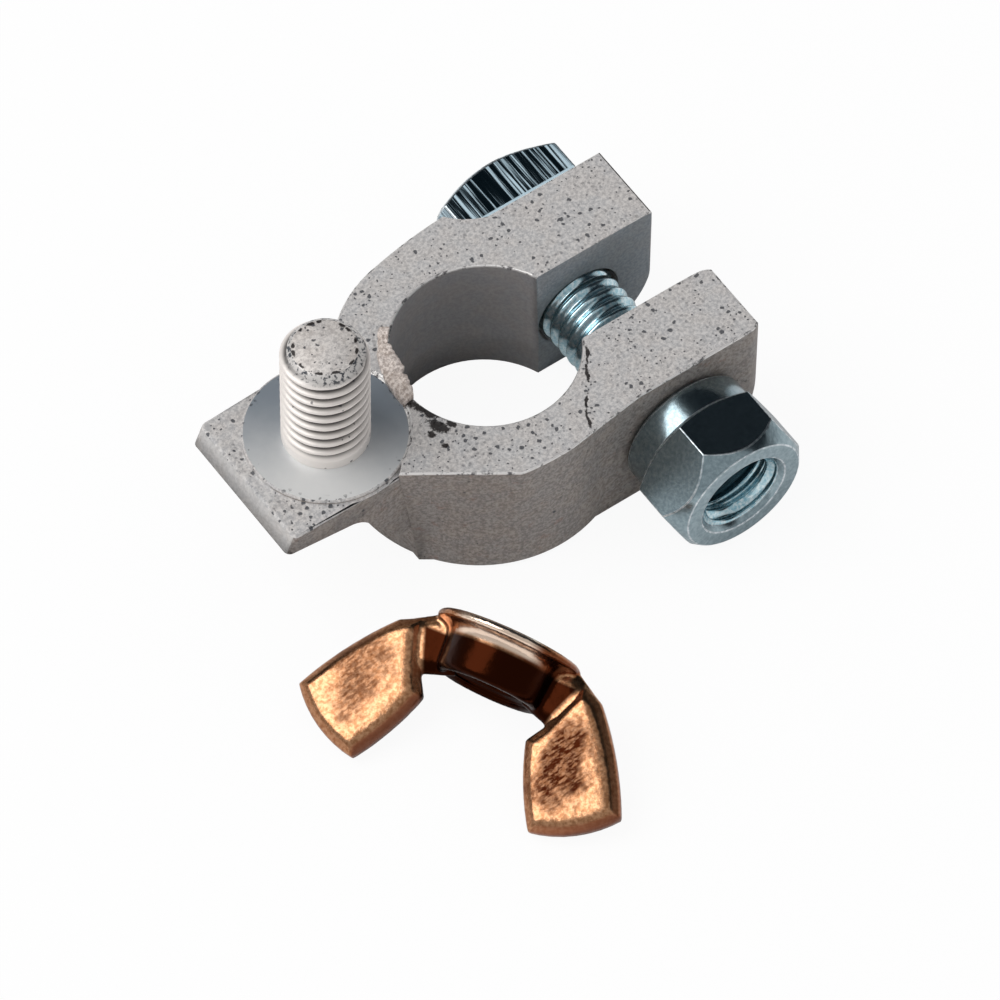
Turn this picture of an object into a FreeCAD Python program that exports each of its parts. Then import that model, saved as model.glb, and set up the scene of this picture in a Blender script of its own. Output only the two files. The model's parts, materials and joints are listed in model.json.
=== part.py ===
import FreeCAD, Part
import math
import os
import re

import Sketcher

# Battery terminal clamp: a cast split ring with two ears, a cable flange and a stud, the square-head bolt
# and locking nut that close it, and the wing nut of the stud, taken off and lying in front.
# Frame: origin on the post's axis at the bottom face, +X towards the ears, +Y towards the bolt's head, +Z up.

SIZES = [
    ("body_height", 15.2, "height of ring and ears"),
    ("ring_top_radius", 13.1, "outside of the ring at the top"),
    ("ring_bottom_radius", 13.05, "outside of the ring at the bottom, less by the mould's draft"),
    ("ring_foot_round", 0.8, "rounding of the ring's lower edge"),
    ("ring_back", 0.85, "ring's centre behind the post's axis"),
    ("ring_aside", 0.25, "ring's centre to the nut's side of the post's axis"),
    ("web_draft", 4.0, "draft of the web between ring, flange and ear on the nut's side, in degrees"),
    ("web_flange_back", 13.2, "place where the web leaves the flange, behind the post's axis"),
    ("web_flange_aside", 7.6, "the same, to the nut's side"),
    ("web_corner_back", 5.3, "place where the web turns, behind the post's axis"),
    ("web_corner_aside", 13.1, "the same, to the nut's side"),
    ("web_crest", 13.4, "widest place of the web, to the nut's side"),
    ("web_ear_ahead", 8.0, "place where the web meets the ear's face"),
    ("post_bottom_radius", 8.95, "parallel lower stretch of the post bore"),
    ("post_land", 4.5, "height of that parallel stretch"),
    ("post_top_radius", 8.58, "post bore at the top, where its taper ends"),
    ("post_rim_chamfer", 0.2, "chamfer of the bore's upper rim"),
    ("far_gap", 3.35, "inner face of the ear on the head's side, from the post's axis"),
    ("near_gap", 4.31, "inner face of the ear on the nut's side, from the post's axis"),
    ("far_ear_thickness", 8.05, "ear on the head's side"),
    ("near_ear_thickness", 8.02, "ear on the nut's side"),
    ("far_ear_reach", 20.75, "end of the ear on the head's side"),
    ("near_ear_reach", 21.9, "end of the ear on the nut's side"),
    ("far_ear_top_reach", 20.6, "the same at the top"),
    ("near_ear_top_reach", 21.25, "the same at the top"),
    ("far_ear_end_arc", 90.0, "curve of that ear's end"),
    ("near_ear_end_arc", 35.0, "curve of that ear's end"),
    ("far_ear_heel", 7.2, "large lower corner of the ear on the head's side"),
    ("near_ear_heel", 8.8, "large lower corner of the ear on the nut's side"),
    ("far_ear_corner", 0.3, "upright corners of that ear's end"),
    ("near_ear_corner", 1.9, "upright corners of that ear's end"),
    ("land_start", 4.4, "start of the land that leads up to the shoulder"),
    ("shoulder_height", 2.3, "shoulder beside the bolt's head, above the ear's face"),
    ("shoulder_gap", 0.1, "play between head and shoulder"),
    ("shoulder_crest", 5.0, "top of the shoulder, in front of the post's axis"),
    ("shoulder_foot", 8.3, "place where the shoulder's hollow meets the ear's face"),
    ("shoulder_hollow", 6.5, "radius of that hollow"),
    ("land_arc", 50.0, "curve of the land"),
    ("flange_reach", 26.1, "lower edge of the cable flange's end"),
    ("flange_top_reach", 25.3, "upper edge of the flange's end"),
    ("flange_width", 14.8, "width of the cable flange"),
    ("flange_aside", 0.55, "middle of the flange, to the head's side of the post's axis"),
    ("flange_end_under", 12.35, "height of the flange's underside at its end"),
    ("flange_root_under", 11.33, "height of the underside where its hollow starts"),
    ("flange_root_start", 19.05, "place where the hollow starts, behind the post's axis"),
    ("flange_root_end", 17.0, "place where the hollow ends"),
    ("flange_root_low", 9.3, "height at which the hollow ends"),
    ("flange_foot", 13.8, "foot of the web under the flange, behind the post's axis"),
    ("flange_foot_height", 5.5, "height of that foot"),
    ("flange_drop", 0.8, "top face of the cable flange, below the ring's"),
    ("flange_root_radius", 3.1, "hollow under the flange"),
    ("flange_corner_radius", 0.6, "upright corners of the flange's end"),
    ("stud_back", 16.78, "stud's axis behind the post's axis"),
    ("stud_aside", 0.67, "stud's axis to the head's side of the post's axis"),
    ("stud_radius", 4.0, "M8 stud"),
    ("stud_length", 13.0, "stud above its pad"),
    ("stud_tip_radius", 2.95, "end face of the stud"),
    ("stud_tip_length", 1.0, "length of the stud's chamfer"),
    ("pad_radius", 7.5, "spot-faced pad round the stud"),
    ("pad_drop", 0.3, "top face of the pad, below the ring's"),
    ("bolt_ahead", 12.65, "bolt's axis in front of the post's axis"),
    ("bolt_level", 7.15, "height of the bolt's axis"),
    ("bolt_radius", 4.0, "M8 bolt"),
    ("bolt_length", 30.0, "bolt under its head"),
    ("bolt_tip_chamfer", 0.8, "chamfer of the bolt's end"),
    ("bolt_hole_radius", 4.4, "clearance holes of the ears"),
    ("head_width", 12.3, "bolt's square head, across flats"),
    ("head_height", 5.9, "height of the head"),
    ("head_crown_radius", 5.9, "circle where the head's crown starts"),
    ("crown_slope", 0.58, "fall of a crown for each unit outwards, 30 degrees"),
    ("nut_width", 13.0, "locking nut, across flats"),
    ("nut_height", 9.5, "locking nut, with its collar"),
    ("nut_corner_turn", 25.5, "turn of the nut's upper corner from upright, in degrees"),
    ("nut_seat_gap", 0.05, "play between the nut and the ear"),
    ("nut_end_radius", 6.1, "circle of the nut's end face inside its chamfer"),
    ("nut_end_slope", 1.4, "fall of that chamfer for each unit outwards"),
    ("nut_bore_radius", 4.05, "nut's bore, with its running clearance on the bolt"),
    ("nut_countersink", 0.5, "countersink at the nut's outer end"),
    ("collar_radius", 6.2, "collar that holds the locking ring"),
    ("collar_height", 3.2, "height of the collar"),
    ("collar_chamfer", 0.5, "chamfer of the collar's edge"),
    ("collar_lip", 0.5, "lip that is rolled over the locking ring"),
    ("collar_mouth_radius", 4.6, "opening inside the lip"),
    ("locking_ring_radius", 5.25, "outside of the nylon locking ring"),
    ("locking_ring_height", 2.1, "height of the locking ring"),
    ("locking_ring_play", 0.05, "play between the locking ring and its seat"),
    ("wing_thread_radius", 4.05, "bore of the wing nut"),
    ("wing_hub_radius", 5.25, "barrel of the wing nut"),
    ("wing_hub_height", 5.1, "height of the barrel with its base"),
    ("wing_hub_chamfer", 0.5, "chamfered upper edge of the barrel"),
    ("wing_hub_draft", 0.25, "barrel's loss of radius towards its upper edge"),
    ("wing_base_radius", 6.85, "base flange of the wing nut"),
    ("wing_base_height", 0.75, "edge of the base flange"),
    ("wing_base_chamfer", 0.35, "chamfer of the base flange's lower edge"),
    ("wing_base_slope", 1.3, "height at which the base flange meets the barrel"),
    ("wing_bore_chamfer", 0.35, "chamfer of the wing nut's bore"),
    ("wing_span", 31.6, "tip to tip"),
    ("wing_height", 15.2, "tips above the base"),
    ("wing_tip_inside", 8.6, "inner corner of a tip, from the nut's axis"),
    ("wing_tip_fall", 4.2, "outer corner of a tip below the inner one"),
    ("wing_tip_arc", 11.1, "curve of a tip's end"),
    ("wing_inner_shoulder", 5.0, "place where a wing's inner edge turns back to its root"),
    ("wing_inner_shoulder_height", 7.8, "height of that turn"),
    ("wing_root_inside", 6.0, "inner end of a wing's root edge"),
    ("wing_root_outside", 7.9, "outer end of a wing's root edge"),
    ("wing_root_top", 6.2, "height of the root edge's inner end"),
    ("wing_root_bottom", 1.3, "height of the root edge's outer end"),
    ("wing_shoulder", 9.9, "place where a wing's outer edge turns up"),
    ("wing_shoulder_height", 2.2, "height of that turn"),
    ("wing_side_arc", 33.0, "curve of a wing's outer edge"),
    ("wing_inner_arc", 26.0, "curve of a wing's inner edge"),
    ("wing_thickness", 2.6, "thickness of a wing"),
    ("wing_bevel", 0.85, "sloped border of a wing's faces"),
    ("wing_neck_thickness", 2.0, "thinner neck between barrel and wing"),
    ("wing_neck_inside", 4.7, "inner end of the neck's upper edge"),
    ("wing_neck_overlap", 0.3, "reach of the neck's upper end into the barrel"),
    ("wing_nut_back", 12.85, "middle of the wing nut's base, behind the post's axis"),
    ("wing_nut_front", 22.2, "middle of the wing nut's base, in front of the post's axis"),
    ("wing_nut_heading", 208.4, "direction of the wing nut's axis on the floor, in degrees from +X"),
]

doc = FreeCAD.newDocument("battery_terminal_clamp")
os.makedirs("parts", exist_ok=True)


def fill_sheet():
    sheet = doc.addObject("Spreadsheet::Sheet", "sizes")
    for row, (alias, value, meaning) in enumerate(SIZES, start=1):
        sheet.set(f"A{row}", meaning)
        sheet.set(f"B{row}", str(value))
        sheet.setAlias(f"B{row}", alias)
    doc.recompute()
    return sheet


sheet = fill_sheet()


def size(alias):
    return float(sheet.get(alias))


def bound(text):
    """An expression with each word that is a size's alias tied to the sheet."""
    aliases = {alias for alias, value, meaning in SIZES}
    return re.sub("[a-z_]+", lambda word: ("sizes." if word[0] in aliases else "") + word[0], text)


def new_body(label):
    body = doc.addObject("PartDesign::Body", label)
    body.Label = label
    return body


def new_sketch(body, name, role, along="0"):
    """A sketch on one of the body's own planes, moved by along against the plane's normal axis."""
    sketch = body.newObject("Sketcher::SketchObject", name)
    plane = next(item for item in body.Origin.OriginFeatures if item.Role == role)
    sketch.AttachmentSupport = (plane, "")
    sketch.MapMode = "FlatFace"
    sketch.setExpression("AttachmentOffset.Base.z", bound(along))
    return sketch


def shift_sketch(sketch, right):
    sketch.setExpression("AttachmentOffset.Base.x", bound(right))


def number(holder, text):
    value = holder.evalExpression(bound(text))
    return float(getattr(value, "Value", value))


def arc_between(start, end, radius):
    """The short anticlockwise arc from start to end."""
    middle = (start + end) * 0.5
    chord = end - start
    depth = math.sqrt(max(radius ** 2 - (chord.Length / 2) ** 2, 0.0))
    left = FreeCAD.Vector(-chord.y, chord.x, 0).normalize()
    centre = middle + left * depth
    circle = Part.Circle(centre, FreeCAD.Vector(0, 0, 1), radius)
    first = math.atan2(start.y - centre.y, start.x - centre.x)
    last = math.atan2(end.y - centre.y, end.x - centre.x)
    return Part.ArcOfCircle(circle, first, last if last > first else last + 2 * math.pi)


def pin_point(sketch, edge, end, corner):
    for kind, text in zip(("DistanceX", "DistanceY"), corner):
        index = sketch.addConstraint(Sketcher.Constraint(kind, edge, end, number(sketch, text)))
        sketch.setExpression(f"Constraints[{index}]", bound(text))


def draw_outline(sketch, corners, rounds=None, hollows=None):
    """A closed outline through corners, anticlockwise.

    rounds and hollows give the radius of the edges, counted from the first corner, that bulge out or in.
    """
    rounds = rounds or {}
    hollows = hollows or {}
    points = [FreeCAD.Vector(number(sketch, across), number(sketch, up), 0) for across, up in corners]
    edges = []
    for index, start in enumerate(points):
        end = points[(index + 1) % len(points)]
        if index in rounds:
            shape = arc_between(start, end, number(sketch, rounds[index]))
        elif index in hollows:
            shape = arc_between(end, start, number(sketch, hollows[index]))
        else:
            shape = Part.LineSegment(start, end)
        edge = sketch.addGeometry(shape, False)
        edges.append((edge, 2, 1) if index in hollows else (edge, 1, 2))
    for index, (edge, first, last) in enumerate(edges):
        following, following_first = edges[(index + 1) % len(edges)][:2]
        sketch.addConstraint(Sketcher.Constraint("Coincident", edge, last, following, following_first))
        pin_point(sketch, edge, first, corners[index])
        curve = rounds.get(index, hollows.get(index))
        if curve:
            place = sketch.addConstraint(Sketcher.Constraint("Radius", edge, number(sketch, curve)))
            sketch.setExpression(f"Constraints[{place}]", bound(curve))


def draw_circle(sketch, across, up, radius):
    centre = FreeCAD.Vector(number(sketch, across), number(sketch, up), 0)
    circle = sketch.addGeometry(Part.Circle(centre, FreeCAD.Vector(0, 0, 1), number(sketch, radius)), False)
    pin_point(sketch, circle, 3, (across, up))
    place = sketch.addConstraint(Sketcher.Constraint("Radius", circle, number(sketch, radius)))
    sketch.setExpression(f"Constraints[{place}]", bound(radius))


def pad(body, sketch, name, length, middle=False, draft=None):
    """A pad along its sketch's normal or, with a draft, against it and narrowing."""
    feature = body.newObject("PartDesign::Pad", name)
    feature.Profile = sketch
    feature.setExpression("Length", bound(length))
    if middle:
        feature.SideType = "Symmetric"
    if draft:
        feature.Reversed = True
        feature.setExpression("TaperAngle", f"-{bound(draft)}")
    sketch.Visibility = False
    doc.recompute()
    return feature


def pocket_through(body, sketch, name, side="both"):
    """A pocket through everything on both sides of its sketch, or on the front or back of it alone."""
    before = body.Shape.Volume
    feature = body.newObject("PartDesign::Pocket", name)
    feature.Profile = sketch
    feature.Type = "ThroughAll"
    if side == "both":
        feature.SideType = "Symmetric"
    feature.Reversed = side == "front"
    doc.recompute()
    check_cut(body, before, name)
    return feature


def revolve(body, sketch, name):
    feature = body.newObject("PartDesign::Revolution", name)
    feature.Profile = sketch
    feature.ReferenceAxis = (sketch, ["V_Axis"])
    feature.Angle = 360
    doc.recompute()
    return feature


def groove(body, sketch, name):
    before = body.Shape.Volume
    feature = body.newObject("PartDesign::Groove", name)
    feature.Profile = sketch
    feature.ReferenceAxis = (sketch, ["V_Axis"])
    feature.Angle = 360
    doc.recompute()
    check_cut(body, before, name)
    return feature


def check_cut(body, before, name):
    if body.Shape.Volume >= before:
        raise RuntimeError(f"{name} removes nothing")


def dress_edges(body, kind, name, radius, wanted):
    """A fillet or chamfer on the edges of the body that wanted picks."""
    support = body.Tip
    names = [f"Edge{index}" for index, edge in enumerate(support.Shape.Edges, start=1) if wanted(edge)]
    feature = body.newObject(f"PartDesign::{kind}", name)
    feature.Base = (support, names)
    feature.setExpression("Radius" if kind == "Fillet" else "Size", bound(radius))
    doc.recompute()
    return feature


def build_clamp_body():
    """The casting: split ring, two ears, cable flange and stud in one piece."""
    body = new_body("clamp_body")

    ring = new_sketch(body, "ring_profile", "XZ_Plane", "ring_aside")
    shift_sketch(ring, "0 - ring_back")
    draw_outline(
        ring,
        [
            ("0", "0"),
            ("ring_bottom_radius - ring_foot_round", "0"),
            ("ring_bottom_radius", "ring_foot_round"),
            ("ring_top_radius", "body_height"),
            ("0", "body_height"),
        ],
        rounds={1: "ring_foot_round"},
    )
    revolve(body, ring, "ring")

    far_face = "far_gap + far_ear_thickness"
    near_face = "near_gap + near_ear_thickness"
    web = new_sketch(body, "web_plan", "XY_Plane", "body_height")
    draw_outline(
        web,
        [
            ("0 - web_flange_back", "0"),
            ("0 - web_flange_back", "0 - web_flange_aside"),
            ("0 - web_corner_back", "0 - web_corner_aside"),
            ("0", "0 - web_crest"),
            ("web_ear_ahead", f"0 - {near_face.replace('+', '-')}"),
            ("web_ear_ahead", "0"),
        ],
        rounds={2: "ring_top_radius * 2"},
    )
    pad(body, web, "web", "body_height", draft="web_draft")

    ears = [
        ("far_ear", "far_gap", far_face),
        ("near_ear", f"0 - {near_face.replace('+', '-')}", "0 - near_gap"),
    ]
    for name, low, high in ears:
        plan = new_sketch(body, f"{name}_plan", "XY_Plane")
        draw_outline(
            plan,
            [
                ("0", low),
                (f"{name}_reach - {name}_corner", low),
                (f"{name}_reach", f"{low} + {name}_corner"),
                (f"{name}_reach", f"{high} - {name}_corner"),
                (f"{name}_reach - {name}_corner", high),
                ("0", high),
            ],
            rounds={1: f"{name}_corner", 3: f"{name}_corner"},
        )
        pad(body, plan, name, "body_height")

    land = new_sketch(body, "shoulder_profile", "XY_Plane")
    draw_outline(
        land,
        [
            ("0 - land_start", "far_gap"),
            ("shoulder_foot", "far_gap"),
            ("shoulder_foot", far_face),
            ("shoulder_crest", f"{far_face} + shoulder_height"),
            ("0 - land_start", "sqrt(ring_top_radius ^ 2 - (land_start - ring_back) ^ 2) - ring_aside"),
        ],
        rounds={3: "land_arc"},
        hollows={2: "shoulder_hollow"},
    )
    pad(body, land, "shoulder", "body_height")

    seat = new_sketch(body, "head_seat_profile", "XZ_Plane", f"0 - {far_face.replace('+', '-')}")
    seat_edge = "bolt_ahead - head_width / 2 - shoulder_gap"
    seat_top = "bolt_level + head_width / 2 + shoulder_gap"
    draw_outline(
        seat,
        [
            (seat_edge, "0 - head_width"),
            ("bolt_ahead + head_width", "0 - head_width"),
            ("bolt_ahead + head_width", seat_top),
            (seat_edge, seat_top),
        ],
    )
    pocket_through(body, seat, "head_seat", "back")

    flange = new_sketch(body, "flange_profile", "XZ_Plane", "0 - flange_aside")
    over = "body_height - flange_drop"
    draw_outline(
        flange,
        [
            ("0 - flange_reach", "flange_end_under"),
            ("0 - flange_root_start", "flange_root_under"),
            ("0 - flange_root_end", "flange_root_low"),
            ("0 - flange_foot", "flange_foot_height"),
            ("0 - post_top_radius", "flange_foot_height"),
            ("0 - post_top_radius", over),
            ("0 - flange_top_reach", over),
        ],
        hollows={1: "flange_root_radius"},
    )
    pad(body, flange, "flange", "flange_width", middle=True)

    pad_top = "body_height - pad_drop"
    spot = new_sketch(body, "spot_face_profile", "XZ_Plane", "0 - stud_aside")
    shift_sketch(spot, "0 - stud_back")
    draw_outline(
        spot,
        [
            ("0", pad_top),
            ("pad_radius", pad_top),
            ("pad_radius", "body_height * 2"),
            ("0", "body_height * 2"),
        ],
    )
    groove(body, spot, "spot_face")

    stud = new_sketch(body, "stud_profile", "XZ_Plane", "0 - stud_aside")
    shift_sketch(stud, "0 - stud_back")
    draw_outline(
        stud,
        [
            ("0", "flange_end_under"),
            ("pad_radius", "flange_end_under"),
            ("pad_radius", pad_top),
            ("stud_radius", pad_top),
            ("stud_radius", f"{pad_top} + stud_length - stud_tip_length"),
            ("stud_tip_radius", f"{pad_top} + stud_length"),
            ("0", f"{pad_top} + stud_length"),
        ],
    )
    revolve(body, stud, "stud")

    bore = new_sketch(body, "post_bore_profile", "XZ_Plane")
    draw_outline(
        bore,
        [
            ("0", "0"),
            ("post_bottom_radius", "0"),
            ("post_bottom_radius", "post_land"),
            ("post_top_radius", "body_height - post_rim_chamfer"),
            ("post_top_radius + post_rim_chamfer", "body_height"),
            ("0", "body_height"),
        ],
    )
    groove(body, bore, "post_bore")

    gap = new_sketch(body, "ear_gap_profile", "XY_Plane")
    draw_outline(
        gap,
        [
            ("0", "0 - near_gap"),
            ("near_ear_reach * 2", "0 - near_gap"),
            ("near_ear_reach * 2", "far_gap"),
            ("0", "far_gap"),
        ],
    )
    pocket_through(body, gap, "ear_gap")

    holes = new_sketch(body, "bolt_hole_profile", "XZ_Plane")
    draw_circle(holes, "bolt_ahead", "bolt_level", "bolt_hole_radius")
    pocket_through(body, holes, "bolt_holes")

    for name, low, high in ears:
        end = new_sketch(body, f"{name}_end_profile", "XZ_Plane")
        start = f"{name}_reach - {name}_heel"
        beyond = f"{name}_reach + {name}_heel"
        draw_outline(
            end,
            [
                (start, f"0 - {name}_heel"),
                (beyond, f"0 - {name}_heel"),
                (beyond, "body_height"),
                (f"{name}_top_reach", "body_height"),
                (f"{name}_reach", f"{name}_heel"),
                (start, "0"),
            ],
            hollows={3: f"{name}_end_arc", 4: f"{name}_heel"},
        )
        pocket_through(body, end, f"{name}_end", "back" if name == "far_ear" else "front")

    def at_flange_end(edge):
        middle = edge.CenterOfMass.x + (size("flange_reach") + size("flange_top_reach")) / 2
        return edge.Curve.TypeId == "Part::GeomLine" and edge.BoundBox.YLength < 0.001 and abs(middle) < 0.01

    dress_edges(body, "Fillet", "flange_corners", "flange_corner_radius", at_flange_end)
    return body


def build_clamp_bolt():
    """Square-head bolt: its axis is the body's own Z, with the seat of the head at zero."""
    body = new_body("clamp_bolt")

    square = new_sketch(body, "head_profile", "XY_Plane", "0 - head_height")
    half = "head_width / 2"
    draw_outline(
        square,
        [(f"0 - {half}", f"0 - {half}"), (half, f"0 - {half}"), (half, half), (f"0 - {half}", half)],
    )
    pad(body, square, "head", "head_height")

    crown = new_sketch(body, "crown_profile", "XZ_Plane")
    draw_outline(
        crown,
        [
            ("head_crown_radius", "0 - head_height"),
            ("head_width", "0 - head_height"),
            ("head_width", "0 - head_height + (head_width - head_crown_radius) * crown_slope"),
        ],
    )
    groove(body, crown, "crown")

    shank = new_sketch(body, "shank_profile", "XZ_Plane")
    draw_outline(
        shank,
        [
            ("0", "0 - head_height / 2"),
            ("bolt_radius", "0 - head_height / 2"),
            ("bolt_radius", "bolt_length - bolt_tip_chamfer"),
            ("bolt_radius - bolt_tip_chamfer", "bolt_length"),
            ("0", "bolt_length"),
        ],
    )
    revolve(body, shank, "shank")
    lay_along_bolt(body, "far_gap + far_ear_thickness")
    return body


def lay_along_bolt(body, beside):
    """Turns a body's own Z to -Y and puts its origin on the bolt's axis at the given Y."""
    body.Placement.Rotation = FreeCAD.Rotation(FreeCAD.Vector(1, 0, 0), 90)
    body.setExpression("Placement.Base.x", bound("bolt_ahead"))
    body.setExpression("Placement.Base.y", bound(beside))
    body.setExpression("Placement.Base.z", bound("bolt_level"))
    doc.recompute()


def hexagon_corner(index):
    """A corner of the nut's hexagon, counted anticlockwise from the upper one."""
    angle = f"(90 + nut_corner_turn + {index} * 60) * 1 deg"
    return (f"nut_width / sqrt(3) * cos({angle})", f"nut_width / sqrt(3) * sin({angle})")


def build_lock_nut():
    """Locking nut: its axis is the body's own Z, with the collar's end face at zero."""
    body = new_body("lock_nut")

    collar = new_sketch(body, "collar_profile", "XZ_Plane")
    draw_outline(
        collar,
        [
            ("0", "0"),
            ("collar_radius - collar_chamfer", "0"),
            ("collar_radius", "collar_chamfer"),
            ("collar_radius", "nut_height"),
            ("0", "nut_height"),
        ],
    )
    revolve(body, collar, "collar")

    hexagon = new_sketch(body, "hexagon_profile", "XY_Plane", "collar_height")
    draw_outline(hexagon, [hexagon_corner(index) for index in range(6)])
    pad(body, hexagon, "hexagon", "nut_height - collar_height")

    ends = [
        ("outer_chamfer", "nut_height", "nut_height - (nut_width - nut_end_radius) * nut_end_slope"),
        ("inner_chamfer", "collar_height", "collar_height + (nut_width - collar_radius) * crown_slope"),
    ]
    for name, face, deepest in ends:
        start = "nut_end_radius" if name == "outer_chamfer" else "collar_radius"
        corners = [(start, face), ("nut_width", face), ("nut_width", deepest)]
        profile = new_sketch(body, f"{name}_profile", "XZ_Plane")
        draw_outline(profile, corners if name == "inner_chamfer" else corners[::-1])
        groove(body, profile, name)

    bore = new_sketch(body, "nut_bore_profile", "XZ_Plane")
    seat = "locking_ring_radius + locking_ring_play"
    top = "collar_lip + locking_ring_height + locking_ring_play * 2"
    draw_outline(
        bore,
        [
            ("0", "0"),
            ("collar_mouth_radius", "0"),
            ("collar_mouth_radius", "collar_lip"),
            (seat, "collar_lip"),
            (seat, top),
            ("nut_bore_radius", top),
            ("nut_bore_radius", "nut_height - nut_countersink"),
            ("nut_bore_radius + nut_countersink", "nut_height"),
            ("0", "nut_height"),
        ],
    )
    groove(body, bore, "nut_bore")
    lay_along_bolt(body, "0 - near_gap - near_ear_thickness - nut_seat_gap")
    return body


def build_locking_ring():
    """Nylon ring in the nut's collar, with the nut's own origin."""
    body = new_body("nut_locking_ring")
    profile = new_sketch(body, "locking_ring_profile", "XZ_Plane")
    low = "collar_lip + locking_ring_play"
    draw_outline(
        profile,
        [
            ("nut_bore_radius", low),
            ("locking_ring_radius", low),
            ("locking_ring_radius", f"{low} + locking_ring_height"),
            ("nut_bore_radius", f"{low} + locking_ring_height"),
        ],
    )
    revolve(body, profile, "locking_ring")
    lay_along_bolt(body, "0 - near_gap - near_ear_thickness - nut_seat_gap")
    return body


def mirror_body(body, name):
    """Adds the body's own mirror image on the other side of its YZ plane."""
    feature = body.newObject("PartDesign::Mirrored", name)
    feature.TransformMode = "Whole shape"
    plane = next(item for item in body.Origin.OriginFeatures if item.Role == "YZ_Plane")
    feature.MirrorPlane = (plane, [""])
    body.Tip = feature
    doc.recompute()
    return feature


def build_wing_nut():
    """Wing nut: its axis is the body's own Z, with the base at zero and the wings in the XZ plane."""
    body = new_body("wing_nut")

    wing_plate = new_sketch(body, "wing_profile", "XZ_Plane")
    wing = [
        ("wing_root_outside", "wing_root_bottom"),
        ("wing_shoulder", "wing_shoulder_height"),
        ("wing_span / 2", "wing_height - wing_tip_fall"),
        ("wing_tip_inside", "wing_height"),
        ("wing_inner_shoulder", "wing_inner_shoulder_height"),
        ("wing_root_inside", "wing_root_top"),
    ]
    draw_outline(wing_plate, wing, rounds={1: "wing_side_arc", 2: "wing_tip_arc", 3: "wing_inner_arc"})
    pad(body, wing_plate, "wing", "wing_thickness", middle=True)

    def on_wing_face(edge):
        return edge.BoundBox.YLength < 0.001

    dress_edges(body, "Chamfer", "wing_bevels", "wing_bevel", on_wing_face)

    hub = new_sketch(body, "wing_hub_profile", "XZ_Plane")
    upper = "wing_hub_radius - wing_hub_draft"
    draw_outline(
        hub,
        [
            ("0", "0"),
            ("wing_base_radius - wing_base_chamfer", "0"),
            ("wing_base_radius", "wing_base_chamfer"),
            ("wing_base_radius", "wing_base_height"),
            ("wing_hub_radius", "wing_base_slope"),
            (upper, "wing_hub_height - wing_hub_chamfer"),
            (f"{upper} - wing_hub_chamfer", "wing_hub_height"),
            ("0", "wing_hub_height"),
        ],
    )
    revolve(body, hub, "wing_hub")

    necks = new_sketch(body, "wing_neck_profile", "XZ_Plane")
    neck = [
        ("wing_thread_radius", "wing_base_chamfer"),
        ("wing_root_outside", "wing_root_bottom"),
        ("wing_root_outside + wing_bevel", "wing_root_bottom + wing_bevel"),
        ("wing_root_inside + wing_bevel", "wing_root_top"),
        ("wing_neck_inside", "wing_root_top"),
        ("wing_thread_radius + wing_neck_overlap", "wing_hub_height - wing_hub_chamfer"),
    ]
    draw_outline(necks, neck)
    pad(body, necks, "wing_neck", "wing_neck_thickness", middle=True)
    mirror_body(body, "second_wing")

    bore = new_sketch(body, "wing_bore_profile", "XZ_Plane")
    draw_outline(
        bore,
        [
            ("0", "0"),
            ("wing_thread_radius + wing_bore_chamfer", "0"),
            ("wing_thread_radius", "wing_bore_chamfer"),
            ("wing_thread_radius", "wing_hub_height - wing_bore_chamfer"),
            ("wing_thread_radius + wing_bore_chamfer", "wing_hub_height"),
            ("0", "wing_hub_height"),
        ],
    )
    groove(body, bore, "wing_bore")
    rest_on_floor(body)
    return body


def rest_on_floor(body):
    """Lays the wing nut down so that its base flange and both wing tips touch the floor."""
    rise = size("wing_base_radius") - size("wing_thickness") / 2
    run = size("wing_height") - size("wing_bevel") - size("wing_base_height")
    tilt = math.degrees(math.atan2(rise, run))
    lying = FreeCAD.Rotation(FreeCAD.Vector(0, 1, 0), 90 + tilt)
    heading = FreeCAD.Rotation(FreeCAD.Vector(0, 0, 1), size("wing_nut_heading"))
    on_side = FreeCAD.Rotation(FreeCAD.Vector(0, 0, 1), 90)
    body.Placement.Rotation = heading.multiply(lying).multiply(on_side)
    body.setExpression("Placement.Base.x", bound("0 - wing_nut_back"))
    body.setExpression("Placement.Base.y", bound("0 - wing_nut_front"))
    doc.recompute()
    body.Placement.Base.z -= body.Shape.optimalBoundingBox(False).ZMin
    doc.recompute()


def check_document(bodies):
    for item in doc.Objects:
        if "Invalid" in item.State or "Error" in item.State:
            raise RuntimeError(f"{item.Name} failed: {item.State}")
    for body in bodies:
        shape = body.Shape
        if shape.isNull() or not shape.isValid() or len(shape.Solids) != 1:
            raise RuntimeError(f"{body.Label} is not one valid solid")


bodies = [
    build_clamp_body(),
    build_clamp_bolt(),
    build_lock_nut(),
    build_locking_ring(),
    build_wing_nut(),
]
doc.recompute()
check_document(bodies)
for body in bodies:
    body.Shape.exportStep(f"parts/{body.Label}.step")
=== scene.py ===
"""Battery terminal clamp: a sand-cast zinc ring with its threaded stud, a square-head bolt with a
locking nut through its two ears, and the copper-plated wing nut of the stud lying in front."""

import json
import math

import bmesh
import bpy
from mathutils import Matrix, Vector, noise


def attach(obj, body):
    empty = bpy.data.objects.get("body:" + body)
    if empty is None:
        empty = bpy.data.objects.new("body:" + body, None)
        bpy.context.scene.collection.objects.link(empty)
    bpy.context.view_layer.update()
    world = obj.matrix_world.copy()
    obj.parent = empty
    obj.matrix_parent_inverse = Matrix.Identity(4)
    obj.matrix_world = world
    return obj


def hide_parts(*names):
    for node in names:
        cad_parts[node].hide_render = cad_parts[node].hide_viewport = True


MM = 0.001

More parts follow.
